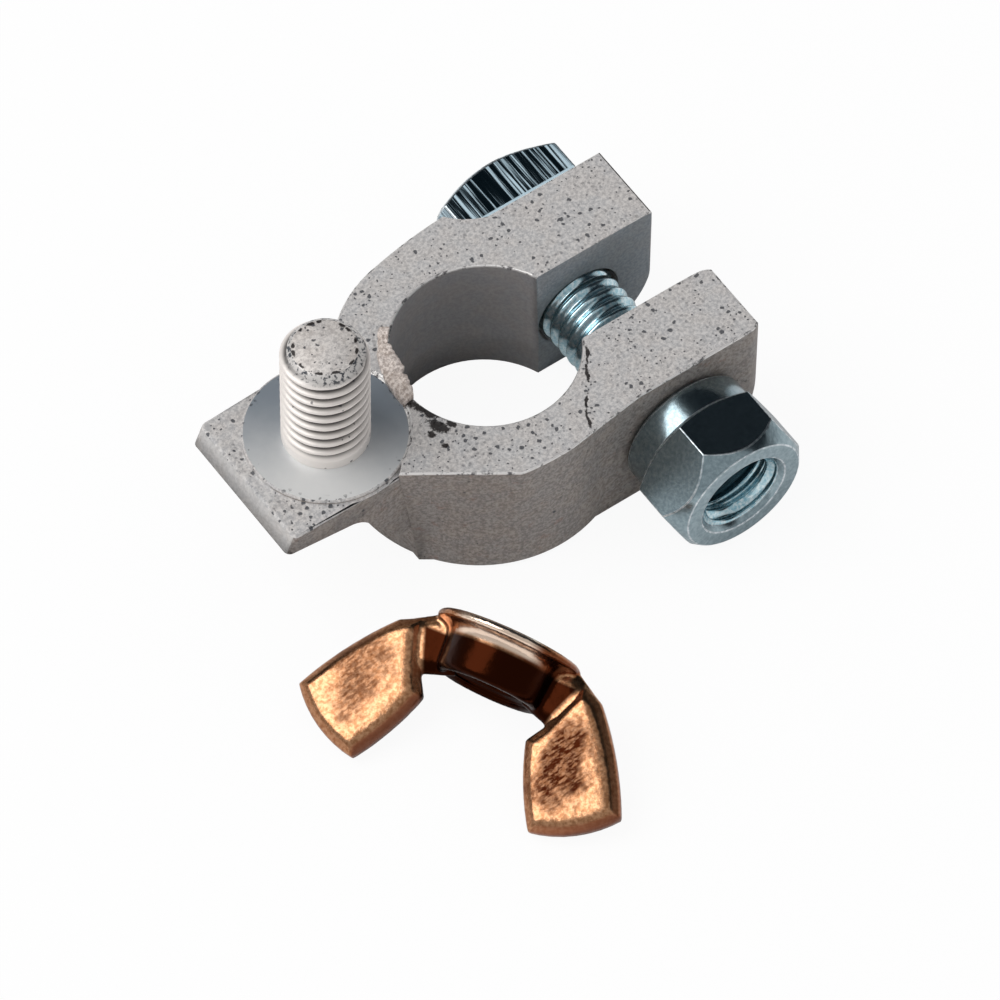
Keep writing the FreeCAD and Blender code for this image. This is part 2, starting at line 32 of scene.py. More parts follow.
# Camera
CAMERA_AZIMUTH = math.radians(-35.95)
CAMERA_ELEVATION = math.radians(56.14)
CAMERA_ROLL = math.radians(0.77)
CAMERA_DISTANCE = 874.6 * MM
CAMERA_AIM = Vector((-5.29, -9.78, 7.0)) * MM
CAMERA_REACH = 10.0
SENSOR_WIDTH = 36.0
LENS = 354.9

# Studio
FLOOR_SIZE = 1.5
FLOOR_GLOW = 0.93
SOFTBOX_DIRECTION = Vector((-0.52, 0.27, 0.81))
SOFTBOX_DISTANCE = 0.8
SOFTBOX_SIZE = 0.7
SOFTBOX_POWER = 3.4

# Sizes of the casting that its finishes follow
BORE_RADIUS = 8.95 * MM
BORE_TOP_RADIUS = 8.58 * MM
BORE_RIM = 0.3 * MM
RING_TOP = 15.2 * MM
FLANGE_TOP = 14.4 * MM
FLANGE_END = -24.0 * MM
PAD_TOP = 14.9 * MM
PAD_RADIUS = 7.5 * MM
WEB_CORNER = Vector((-13.2, -7.6, 15.2)) * MM
WEB_STEP = Vector((-1.03, 0.73, 0)) * MM
GAP_START = 7.0 * MM
GAP_NEAR = -4.31 * MM
GAP_FAR = 3.35 * MM

# How near a place has to be to a size to count as lying on it
NEAR = 0.05 * MM

# Rounded edges, rubbed and carrying a painted highlight
CASTING_EDGE = 0.18 * MM
HEAD_EDGE = 0.2 * MM
NUT_EDGE = 0.09 * MM
CASTING_EDGE_TURN = math.radians(28)
NUT_EDGE_TURN = math.radians(20)

# Threads: their flats are shares of a pitch
THREAD_PITCH = 1.25 * MM
THREAD_ROWS = 12
THREAD_SIDES = 96
THREAD_FLAT = 0.04
STUD_RADIUS = 4.0 * MM
STUD_TOP = 27.9 * MM
STUD_CHAMFER = 1.0 * MM
STUD_TIP_RADIUS = 2.95 * MM
STUD_PLAIN = 1.0 * MM
STUD_THREAD_DEPTH = 0.66 * MM
STUD_THREAD_END = STUD_TOP + 0.4 * MM
STUD_ROOT_FLAT = 0.3
BOLT_RADIUS = 4.0 * MM
BOLT_SEAT = 11.4 * MM
BOLT_START = -1.0 * MM
BOLT_LENGTH = 30.0 * MM
BOLT_THREAD_START = 0.6 * MM
BOLT_THREAD_END = BOLT_LENGTH - 0.2 * MM
BOLT_THREAD_DEPTH = 0.36 * MM
BOLT_CHAMFER = 0.8 * MM
BOLT_TIP_RADIUS = 3.2 * MM
NUT_BORE_RADIUS = 4.05 * MM
NUT_THREAD_DEPTH = 0.62 * MM
NUT_THREAD_START = 6.3 * MM
NUT_THREAD_END = 9.0 * MM
SLEEVE_THICKNESS = 0.25 * MM

# Torn gate, where the runner was broken off between the pad and the bore
GATE_START = math.radians(134)
GATE_END = math.radians(187)
GATE_OUTER = 9.7 * MM
GATE_OVERHANG = 1.0 * MM
GATE_THICKNESS = 0.7 * MM

# Wing nut, in its own measures: across its axis and along it from its base
WING_HALF_SPAN = 15.8 * MM
WING_HEIGHT = 15.2 * MM
WING_TIP_FALL = 4.2 * MM
WING_TIP_INSIDE = 8.6 * MM
WING_ROOT = (7.9 * MM, 1.3 * MM)
WING_SHOULDER = (9.9 * MM, 2.2 * MM)
WING_TURN = (5.0 * MM, 7.8 * MM)
WING_ROOT_TOP = (6.0 * MM, 6.2 * MM)
WING_INNER_ARC = 26 * MM
WING_TIP_ARC = 11.1 * MM
WING_OUTER_ARC = 33 * MM
WING_BORE_MIDDLE = 2.55 * MM
WING_SKIN = 0.17 * MM
HUB_RADIUS = 5.25 * MM
HUB_HEIGHT = 5.1 * MM
BASE_RADIUS = 6.85 * MM
BASE_EDGE = 0.75 * MM

# Outline of a neck, in mm, and how far the root of its wing comes in for each unit of height
WING_NECK = ((3.2, 5.0), (7.4, 6.4), (9.9, 2.2), (6.7, 0.3), (3.2, 0.3))
WING_ROOT_LEAN = 0.388

# Borders of the wings and their necks, as steps in and up in mm, from the edge to the middle
WING_BORDER = ((0.02, 0.42), (0.16, 0.24), (0.5, 0.42), (0.25, 0.12), (0.35, 0.06), (0.5, 0.03))
NECK_BORDER = ((0.1, 0.2), (0.45, 0.35), (0.6, 0.2), (0.5, 0.05))

# Settings that many shader nodes share
SMOOTH = {"interpolation_type": "SMOOTHSTEP"}
COLOUR = {"data_type": "RGBA", "output": 2}

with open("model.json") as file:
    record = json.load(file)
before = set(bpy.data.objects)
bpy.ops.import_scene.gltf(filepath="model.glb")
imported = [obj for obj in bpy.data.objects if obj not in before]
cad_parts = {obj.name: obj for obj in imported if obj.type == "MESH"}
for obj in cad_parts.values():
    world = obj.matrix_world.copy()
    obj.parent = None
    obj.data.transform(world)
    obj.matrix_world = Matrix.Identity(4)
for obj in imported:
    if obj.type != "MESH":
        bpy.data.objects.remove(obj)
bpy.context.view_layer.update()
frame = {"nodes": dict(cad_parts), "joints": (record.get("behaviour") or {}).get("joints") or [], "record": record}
mounts = {mount["name"]: mount for mount in frame["record"]["mounts"]}
stud_axis = Vector(mounts["cable_stud"]["pos_m"])
wing_axis = Vector(mounts["wing_nut_thread"]["axis"])
wing_middle = Vector(mounts["wing_nut_thread"]["pos_m"])
nut_seat = Vector(next(
    joint["pos_m"] for joint in frame["joints"] if joint["name"] == "nut_spin"
))


# ---- meshes

def make_piece(mesh, name, body, node, materials):
    """Turns a bmesh into a piece that rides on a body and stands for a CAD node."""
    data = bpy.data.meshes.new(name)
    mesh.to_mesh(data)
    mesh.free()
    data.shade_smooth()
    for material in materials:
        data.materials.append(material)
    piece = bpy.data.objects.new(name, data)
    bpy.context.scene.collection.objects.link(piece)
    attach(piece, body)
    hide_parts(node)
    return piece


def even_shading(piece):
    """Keeps flat faces flat beside their rounded edges."""
    modifier = piece.modifiers.new("even_shading", "WEIGHTED_NORMAL")
    modifier.keep_sharp = True
    modifier.weight = 100


def merged_copy(node):
    mesh = bmesh.new()
    mesh.from_mesh(frame["nodes"][node].data)
    bmesh.ops.remove_doubles(mesh, verts=mesh.verts, dist=0.004 * MM)
    return mesh


def join_flat_faces(mesh):
    bmesh.ops.dissolve_limit(
        mesh, angle_limit=math.radians(0.5), verts=mesh.verts, edges=mesh.edges,
        use_dissolve_boundaries=False,
    )


def round_edges(mesh, width, sharpest=CASTING_EDGE_TURN, only=None):
    """Rounds the edges that turn by more than an angle, and returns the new faces."""
    edges = [edge for edge in mesh.edges if edge.is_manifold and edge.calc_face_angle() > sharpest]
    if only:
        edges = [edge for edge in edges if all(only(vert.co) for vert in edge.verts)]
    result = bmesh.ops.bevel(
        mesh, geom=edges, offset=width, offset_type="OFFSET", segments=2, profile=0.5,
        affect="EDGES", material=-1, clamp_overlap=False,
    )
    return result["faces"]


def mark_faces(mesh, faces):
    """Gives some faces the second material of their piece."""
    chosen = set(faces)
    for face in mesh.faces:
        face.material_index = 1 if face in chosen else 0


def place_on(mesh, other):
    """Adds another mesh's geometry to the first and frees it."""
    data = bpy.data.meshes.new("part")
    other.to_mesh(data)
    other.free()
    mesh.from_mesh(data)
    bpy.data.meshes.remove(data)


def spun_about_z(profile, steps):
    """A closed body of revolution through points of radius and height."""
    mesh = bmesh.new()
    points = [mesh.verts.new((radius, 0, height)) for radius, height in profile]
    edges = [mesh.edges.new(pair) for pair in zip(points, points[1:])]
    bmesh.ops.spin(
        mesh, geom=points + edges, cent=(0, 0, 0), axis=(0, 0, 1), dvec=(0, 0, 0),
        angle=math.tau, steps=steps, use_merge=True,
    )
    bmesh.ops.remove_doubles(mesh, verts=mesh.verts, dist=1e-7)
    bmesh.ops.recalc_face_normals(mesh, faces=mesh.faces)
    return mesh


def rows(low, high):
    """Heights close enough together to carry a thread."""
    count = max(1, round((high - low) / (THREAD_PITCH / THREAD_ROWS)))
    return [low + (high - low) * index / count for index in range(count + 1)]


def thread_form(turn, root_flat):
    """Height of a thread's flank, 0 at the root and 1 at the crest, for a share of a turn."""
    ramp = abs(2 * (turn % 1.0) - 1)
    ramp = min(max((ramp - root_flat) / (1 - root_flat - THREAD_FLAT), 0.0), 1.0)
    return ramp * ramp * (3 - 2 * ramp)


def cut_thread(verts, low, high, radius, depth, run_out, root_flat=THREAD_FLAT):
    """Moves the wall between two heights in along a right-hand helix."""
    for vert in verts:
        reach = math.hypot(vert.co.x, vert.co.y)
        if not low <= vert.co.z <= high or reach < radius * 0.5:
            continue
        turn = vert.co.z / THREAD_PITCH - math.atan2(vert.co.y, vert.co.x) / math.tau
        fade = max(min((vert.co.z - low) / run_out, (high - vert.co.z) / run_out, 1.0), 0.0)
        cut = depth * (1 - thread_form(turn, root_flat)) * fade
        wanted = min(reach, radius - cut)
        vert.co.x *= wanted / reach
        vert.co.y *= wanted / reach


def threaded_rod(radius, depth, low, high, thread_low, thread_high, chamfer, tip_radius,
                 root_flat=THREAD_FLAT):
    """A rod along Z with a thread between two heights and a chamfered tip."""
    profile = [(0, low)]
    profile += [(radius, height) for height in rows(low, high - chamfer)]
    for height in rows(high - chamfer, high)[1:]:
        share = (height - high + chamfer) / chamfer
        profile.append((radius + (tip_radius - radius) * share, height))
    profile.append((0, high))
    mesh = spun_about_z(profile, THREAD_SIDES)
    cut_thread(mesh.verts, thread_low, thread_high, radius, depth, THREAD_PITCH * 0.6, root_flat)
    return mesh


def thread_sleeve(low, high):
    """An inside thread between two heights, backed by a thin wall that lies in the solid."""
    outer = NUT_BORE_RADIUS + SLEEVE_THICKNESS
    profile = [(outer, high), (outer, low)]
    profile += [(NUT_BORE_RADIUS, height) for height in rows(low, high)]
    profile.append((outer, high))
    mesh = spun_about_z(profile, THREAD_SIDES)
    inner = [vert for vert in mesh.verts if vert.co.xy.length < NUT_BORE_RADIUS + NEAR]
    cut_thread(inner, low, high, NUT_BORE_RADIUS, NUT_THREAD_DEPTH, THREAD_PITCH * 0.3)
    return mesh


# ---- shader nodes

def from_hex(code):
    """A colour written as sRGB hex, as linear RGBA."""
    channels = [int(code[index:index + 2], 16) / 255 for index in (0, 2, 4)]
    linear = [
        value / 12.92 if value <= 0.04045 else ((value + 0.055) / 1.055) ** 2.4
        for value in channels
    ]
    return (*linear, 1.0)


def per_metre(size):
    """A texture's scale for a pattern of that real size."""
    return 1.0 / size


def grains(place, size, detail=3.0, roughness=0.6):
    """A noise's inputs for grains of that real size."""
    return {"Vector": place, "Scale": per_metre(size), "Detail": detail, "Roughness": roughness}


def add(tree, kind, inputs=(), output=0, **settings):
    """Adds a shader node with its settings and gives back one of its outputs.

    Inputs come in the node's own order, or by name; one that is another node's output is linked.
    """
    node = tree.nodes.new("ShaderNode" + kind)
    for name, value in settings.items():
        setattr(node, name, value)
    named = inputs if isinstance(inputs, dict) else dict(enumerate(inputs))
    for socket, value in named.items():
        if isinstance(value, bpy.types.NodeSocket):
            tree.links.new(value, node.inputs[socket])
        else:
            node.inputs[socket].default_value = value
    return node.outputs[output]


def new_material(name, **constants):
    """A material with one Principled shader, and its tree, shader and object coordinates."""
    material = bpy.data.materials.new(name)
    material.use_nodes = True
    tree = material.node_tree
    shader = next(node for node in tree.nodes if node.type == "BSDF_PRINCIPLED")
    for socket, value in constants.items():
        shader.inputs[socket.replace("_", " ")].default_value = value
    return material, tree, shader, add(tree, "TexCoord", output="Object")


def finish_surface(tree, shader, colour, height, depth, rounding=0.0):
    """Sets a colour and a relief; rounding softens the light on edges that far in."""
    relief = {"Height": height, "Distance": depth, "Strength": 1.0}
    if rounding:
        relief["Normal"] = add(tree, "Bevel", {"Radius": rounding}, samples=4)
    tree.links.new(colour, shader.inputs["Base Color"])
    tree.links.new(add(tree, "Bump", relief), shader.inputs["Normal"])


def strongest(tree, shares):
    """The largest of several shares."""
    total = shares[0]
    for share in shares[1:]:
        total = add(tree, "Math", (total, share), operation="MAXIMUM")
    return total


def with_marks(tree, share, strength, colour, code):
    """A colour with marks of another in it, by the marks' share and their strength."""
    share = add(tree, "Math", (share, strength), operation="MULTIPLY")
    return add(tree, "Mix", {0: share, 6: colour, 7: from_hex(code)}, **COLOUR)


def jogged(tree, place, size, amount):
    """Shifts places a little, so that round or straight marks turn out uneven."""
    waver = add(tree, "TexNoise", {"Vector": place, "Scale": per_metre(size), "Detail": 2.0},
                output="Color")
    centred = add(tree, "VectorMath", (waver, (0.5, 0.5, 0.5)), operation="SUBTRACT")
    scaled = add(tree, "VectorMath", {0: centred, "Scale": amount}, operation="SCALE")
    return add(tree, "VectorMath", (place, scaled), operation="ADD")


def pits(tree, place, spacing, share, largest, patchiness, level=True):
    """1 in scattered pits and 0 between them; a slow noise gathers them in patches.

    On a level face the pits are spread over the face itself, so that each shows its full width.
    """
    uneven = jogged(tree, place, spacing * 0.6, spacing * 0.55)
    cell = add(tree, "TexVoronoi", {"Vector": uneven, "Scale": per_metre(spacing)},
               voronoi_dimensions="2D" if level else "3D").node.outputs
    chance = add(tree, "SeparateColor", (cell["Color"],))
    slow = add(tree, "TexNoise", grains(place, patchiness, 1.0))
    patch = add(tree, "MapRange", (slow, 0.35, 0.62, 0.25, 1.0), **SMOOTH)
    wanted = add(tree, "Math", (patch, share, chance), operation="MULTIPLY_ADD")
    excess = add(tree, "Math", (wanted, 1.0), operation="SUBTRACT")
    reach = add(tree, "MapRange", (excess, 0.0, share * 0.8, 0.0, largest / spacing), **SMOOTH)
    inside = add(tree, "Math", (reach, cell["Distance"]), operation="SUBTRACT")
    return add(tree, "MapRange", (inside, 0.0, 0.09), **SMOOTH)


def mark(tree, place, start, end, width):
    """1 along an uneven mark on the top face, from one place to another in mm, and 0 beside it."""
    start, end = Vector(start) * MM, Vector(end) * MM
    along = end - start
    uneven = jogged(tree, jogged(tree, place, 1.1 * MM, 0.5 * MM), 0.35 * MM, 0.25 * MM)
    local = add(tree, "Mapping", {
        "Vector": uneven, "Location": (*((start + end) / 2), 0),
        "Rotation": (0, 0, math.atan2(along.y, along.x)),
        "Scale": (along.length / 2, width / 2, 1)}, vector_type="TEXTURE")
    flat = add(tree, "VectorMath", (local, (1, 1, 0)), operation="MULTIPLY")
    reach = add(tree, "VectorMath", (flat,), operation="LENGTH", output="Value")
    crumbs = add(tree, "TexNoise", grains(place, 0.35 * MM, 4.0, 0.7))
    ragged = add(tree, "Math", (crumbs, 1.6, reach), operation="MULTIPLY_ADD")
    return add(tree, "MapRange", (ragged, 1.42, 1.75, 1.0, 0.0), **SMOOTH)


def from_stud_axis(tree, place):
    """How far places lie from the stud's axis."""
    flat = add(tree, "VectorMath", (place, (1, 1, 0)), operation="MULTIPLY")
    off_axis = add(tree, "VectorMath", (flat, (stud_axis.x, stud_axis.y, 0)), operation="SUBTRACT")
    return add(tree, "VectorMath", (off_axis,), operation="LENGTH", output="Value")


# ---- materials of the casting

def cast_zinc(name, light, dark, relief, roughness, pit_share=0.0, gashes=(), level=True,
              stained=False):
    """Zinc alloy cast in sand, which leaves it dull and grainy.

    Where its skin was left as cast it has gas pits, and where it is stained it has faint rusty
    patches. The sand's fine grain is drawn somewhat coarser than it is, so that it shows.
    """
    material, tree, shader, place = new_material(name, Metallic=0.2, Roughness=roughness)
    fine = add(tree, "TexNoise", grains(place, 0.33 * MM, 4.0, 0.7))
    broad = add(tree, "TexNoise", grains(place, 2.4 * MM))
    share = add(tree, "MapRange", (fine, 0.36, 0.64), **SMOOTH)
    colour = add(tree, "Mix", {0: share, 6: from_hex(dark), 7: from_hex(light)}, **COLOUR)
    share = add(tree, "MapRange", (broad, 0.38, 0.62), **SMOOTH)
    tint = add(tree, "Mix", {0: share, 6: from_hex("747C84"), 7: from_hex("89827D")}, **COLOUR)
    colour = add(tree, "Mix", {0: 0.5, 6: colour, 7: tint}, blend_type="SOFT_LIGHT", **COLOUR)
    if stained:
        stain = add(tree, "TexNoise", grains(place, 1.3 * MM, 4.0))
        stain = add(tree, "MapRange", (stain, 0.6, 0.74), **SMOOTH)
        colour = with_marks(tree, stain, 0.4, colour, "8A5B4A")
    height = add(tree, "Math", (fine, 0.5, broad), operation="MULTIPLY_ADD")
    if pit_share:
        deep = gas_pits(tree, place, pit_share, level)
        colour = with_marks(tree, deep, 0.85, colour, "34383F")
        height = add(tree, "Math", (height, deep), operation="SUBTRACT")
    if gashes:
        torn = strongest(tree, [mark(tree, place, *ends) for ends in gashes])
        colour = with_marks(tree, torn, 0.95, colour, "1C1412")
        height = add(tree, "Math", (torn, -2.0, height), operation="MULTIPLY_ADD")
    finish_surface(tree, shader, colour, height, relief, 0.3 * MM)
    return material


def gas_pits(tree, place, share, level):
    """Pits of three sizes: shallow ones, large deep ones and pinholes."""
    shallow = pits(tree, place, 0.6 * MM, share, 0.17 * MM, 5.0 * MM, level)
    return strongest(tree, [
        add(tree, "Math", (shallow, 0.4), operation="MULTIPLY"),
        pits(tree, place, 0.9 * MM, share * 0.8, 0.23 * MM, 4.0 * MM, level),
        pits(tree, place, 0.47 * MM, share * 0.45, 0.11 * MM, 3.0 * MM, level),
    ])


def torn_marks():
    """Gashes beside the torn gate and along the pad: start, end (mm) and width."""
    return [
        ((-9.9, 0.6), (-8.7, -2.0), 1.5 * MM), ((-9.1, -1.1), (-7.6, -4.4), 1.2 * MM),
        ((-9.0, -3.6), (-7.8, -6.0), 1.3 * MM), ((-7.6, -4.6), (-7.0, -5.8), 0.7 * MM),
        ((-9.7, -4.8), (-9.1, -5.5), 0.8 * MM), ((-9.5, -6.5), (-8.9, -7.0), 0.7 * MM),
        ((-8.6, 7.6), (-8.9, 5.6), 0.25 * MM), ((-10.2, 3.6), (-9.5, 1.3), 0.25 * MM),
    ]


def crack():
    """Joined pits across the near arm, from the bore to the outside: start, end (mm) and width."""
    return [
        ((7.4, -5.0), (6.2, -6.9), 0.34 * MM), ((6.2, -6.7), (5.0, -8.6), 0.38 * MM),
        ((4.4, -9.4), (3.3, -10.7), 0.34 * MM), ((3.2, -10.6), (2.4, -12.8), 0.38 * MM),
    ]


def rim_marks():
    """Dark strokes round the rim of the stud's end: start, end (mm) and width."""
    strokes = []
    rim = STUD_TIP_RADIUS / MM - 0.1
    middle = stud_axis.xy / MM
    for angle in (5, 24, 60, 82, 100, 140, 163, 185, 230, 250, 290, 318, 340):
        turn = angle + noise.noise((angle, 0.5, 0)) * 8
        start, end = [
            middle + Vector((math.cos(math.radians(side)), math.sin(math.radians(side)))) * rim
            for side in (turn - 8, turn + 8)
        ]
        strokes.append((start, end, 0.42 * MM))
    return strokes


def top_skin():
    """The open face of the mould: pale skin full of pits, with gashes by the gate and a crack."""
    return cast_zinc("as_cast_zinc_top", "DCD9D6", "BBB9B8", 0.05 * MM, 0.6, 0.9,
                     torn_marks() + crack())


def side_skin():
    """Sides cast against sand: darker and browner than the top, with few pits and some stains."""
    return cast_zinc("as_cast_zinc_side", "B2ABA5", "8D8681", 0.04 * MM, 0.55, 0.3,
                     level=False, stained=True)


def cored_bore():
    """The bore, cast on a smooth core: even and almost without relief."""
    return cast_zinc("cored_zinc_bore", "B2AFAE", "A4A1A1", 0.006 * MM, 0.6)


def sawn_gap():
    """The faces of the slot between the ears: flat, a little bluish and finely scored."""
    return cast_zinc("sawn_zinc_gap", "A6ABAE", "92979B", 0.015 * MM, 0.6)


def smooth_end():
    """The flange's end: smoother and paler than the other sides."""
    return cast_zinc("smooth_zinc_end", "D2CFCC", "C0BDBA", 0.01 * MM, 0.5)


def torn_metal():
    """Fresh metal where the runner broke off: bright, warm and coarse."""
    return cast_zinc("torn_zinc_gate", "EFE6DF", "B5A89F", 0.035 * MM, 0.55)


def cropped_end():
    """The stud's cropped end: pale, with pits in its middle and a dark, broken rim."""
    return cast_zinc("cropped_zinc_end", "E6E1DC", "C4BFBB", 0.05 * MM, 0.55, 0.9, rim_marks())


def worn_and_highlit_edge():
    """Edges of the casting rubbed bright in places and carrying a painted highlight, with the dark skin left in
    the low spots.
    """
    material, tree, shader, place = new_material("worn_and_highlit_zinc_edge", Metallic=0.5, Roughness=0.4)
    breaks = add(tree, "TexNoise", grains(place, 0.7 * MM, 3.0, 0.7))
    share = add(tree, "MapRange", (breaks, 0.36, 0.5), **SMOOTH)
    # The pale colour is partly rubbed metal and partly a painted highlight along the edges.
    colour = add(tree, "Mix", {0: share, 6: from_hex("6C6A6B"), 7: from_hex("EAE7E4")}, **COLOUR)
    torn = strongest(tree, [mark(tree, place, *ends) for ends in torn_marks()[:3] + crack()])
    colour = with_marks(tree, torn, 0.9, colour, "1C1412")
    finish_surface(tree, shader, colour, breaks, 0.05 * MM)
    return material


def rolled_thread():
    """The stud's thread: pale crests over roots darkened with painted shade, dark and pitted at its chamfer."""
    material, tree, shader, place = new_material("rolled_zinc_thread", Metallic=0.35,
                                                 Roughness=0.42)
    root = STUD_RADIUS - STUD_THREAD_DEPTH * 0.9
    # Painted shade: the roots are coloured dark grey and the crests pale, by the distance from the axis.
    crest = add(tree, "MapRange", (from_stud_axis(tree, place), root, STUD_RADIUS - 0.14 * MM),
                **SMOOTH)
    colour = add(tree, "Mix", {0: crest, 6: from_hex("4E4A48"), 7: from_hex("F0E9E3")}, **COLOUR)
    height = add(tree, "SeparateXYZ", (place,), output="Z")
    end = add(tree, "MapRange", (height, STUD_TOP - STUD_CHAMFER * 0.9,
                                 STUD_TOP - STUD_CHAMFER * 0.4), **SMOOTH)
    broken = add(tree, "TexNoise", grains(place, 0.4 * MM, 4.0))
    broken = add(tree, "MapRange", (broken, 0.4, 0.5), **SMOOTH)
    ring = add(tree, "Mix", {0: broken, 6: from_hex("46494E"), 7: from_hex("CFCBC7")}, **COLOUR)
    colour = add(tree, "Mix", {0: end, 6: colour, 7: ring}, **COLOUR)
    specks = pits(tree, place, 0.7 * MM, 0.5, 0.2 * MM, 2.0 * MM, level=False)
    colour = with_marks(tree, specks, 0.7, colour, "3A3B3F")
    skin = add(tree, "TexNoise", grains(place, 0.5 * MM))
    finish_surface(tree, shader, colour, skin, 0.03 * MM)
    return material


def spot_faced():
    """The pad, cut flat for the cable lug: smooth and bluish, paler on the side turned to the
    light, with some pits left near its rim."""
    material, tree, shader, place = new_material("spot_faced_zinc", Metallic=0.45, Roughness=0.42)
    lit = Vector((-0.62, -0.78, 0))
    slope = add(tree, "VectorMath", (place, lit), operation="DOT_PRODUCT", output="Value")
    from_axis = add(tree, "Math", (slope, lit.dot(stud_axis)), operation="SUBTRACT")
    wave = add(tree, "TexNoise", grains(place, 2.5 * MM))
    wavy = add(tree, "Math", (wave, 2.5 * MM, from_axis), operation="MULTIPLY_ADD")
    share = add(tree, "MapRange", (wavy, -3.0 * MM, 8.0 * MM), **SMOOTH)
    colour = add(tree, "Mix", {0: share, 6: from_hex("939CA5"), 7: from_hex("E6E7E6")}, **COLOUR)
    rim = add(tree, "MapRange", (from_stud_axis(tree, place), PAD_RADIUS - 0.9 * MM,
                                 PAD_RADIUS - 0.1 * MM), **SMOOTH)
    left = pits(tree, place, 0.6 * MM, 0.9, 0.2 * MM, 4.0 * MM)
    uncut = add(tree, "Math", (rim, left), operation="MULTIPLY")
    colour = with_marks(tree, uncut, 0.8, colour, "4A4D52")
    skin = add(tree, "TexNoise", grains(place, 0.6 * MM))
    finish_surface(tree, shader, colour, skin, 0.008 * MM)
    return material


# ---- materials of the bolt and the nuts

def plated_steel(name, light, dark, relief=0.006 * MM, roughness=0.2):
    """Zinc plating on cold-formed steel: a bluish mirror that blurs a little. Its crystals are
    too fine to show, so its patches are drawn far coarser."""
    material, tree, shader, place = new_material(name, Metallic=1.0, Roughness=roughness)
    skin = add(tree, "TexNoise", grains(place, 0.35 * MM))
    share = add(tree, "MapRange", (skin, 0.3, 0.7), **SMOOTH)
    colour = add(tree, "Mix", {0: share, 6: from_hex(dark), 7: from_hex(light)}, **COLOUR)
    finish_surface(tree, shader, colour, skin, relief)
    return material


def nut_plate():
    """The nut's faces: plain plating, which mirrors the room."""
    return plated_steel("zinc_plated_steel", "A3B5BB", "889AA1")


def rubbed_and_highlit_plate():
    """Edges of nut and head: paler and duller, partly rubbed plating and partly a painted highlight."""
    return plated_steel("rubbed_and_highlit_zinc_plated_edge", "E6ECEF", "9AA8AE", roughness=0.35)


def thread_plate():
    """Rolled and plated threads: smooth, bright and bluish green."""
    return plated_steel("zinc_plated_thread", "DCEBEE", "94C0CE", 0.003 * MM, 0.17)


def drawn_steel():
    """The bolt's head, its sides drawn through a die: bright and dark streaks along the bolt, a band of
    painted highlight beside its seat, and an end that was sheared off smooth. The streaks are drawn
    coarser than the die leaves them, so that they show."""
    material, tree, shader, place = new_material("drawn_zinc_plated_steel", Metallic=0.9,
                                                 Roughness=0.3)
    along = add(tree, "Mapping", {"Vector": place, "Scale": (1.0, 0.02, 1.0)})
    broad = add(tree, "TexNoise", grains(along, 0.5 * MM, 4.0, 0.7))
    fine = add(tree, "TexNoise", grains(along, 0.2 * MM, 2.0))
    fine = add(tree, "Math", (fine, 0.4), operation="MULTIPLY")
    streak = add(tree, "Math", (broad, 0.6, fine), operation="MULTIPLY_ADD")
    beside = add(tree, "SeparateXYZ", (place,), output="Y")
    # Painted highlight: a pale band 1.2 mm wide on the head next to its seat.
    seat = add(tree, "MapRange", (beside, BOLT_SEAT + 1.2 * MM, BOLT_SEAT + 1.35 * MM, 1.0, 0.0),
               **SMOOTH)
    normal = add(tree, "NewGeometry", output="Normal")
    end = add(tree, "SeparateXYZ", (normal,), output="Y")
    end = add(tree, "MapRange", (end, 0.3, 0.8), **SMOOTH)
    streaks = add(tree, "Math", (
        add(tree, "MapRange", (streak, 0.44, 0.62), **SMOOTH),
        add(tree, "MapRange", (end, 0.0, 1.0, 1.0, 0.15), **SMOOTH)), operation="MULTIPLY")
    sheared = add(tree, "Math", (end, 0.45), operation="MULTIPLY")
    share = strongest(tree, [streaks, seat, sheared])
    colour = add(tree, "Mix", {0: share, 6: from_hex("46626F"), 7: from_hex("CDE5F0")}, **COLOUR)
    rough = add(tree, "MapRange", (share, 0.1, 0.9, 0.22, 0.6), **SMOOTH)
    metal = add(tree, "MapRange", (share, 0.1, 0.9, 1.0, 0.3), **SMOOTH)
    tree.links.new(rough, shader.inputs["Roughness"])
    tree.links.new(metal, shader.inputs["Metallic"])
    finish_surface(tree, shader, colour, streak, 0.012 * MM)
    return material


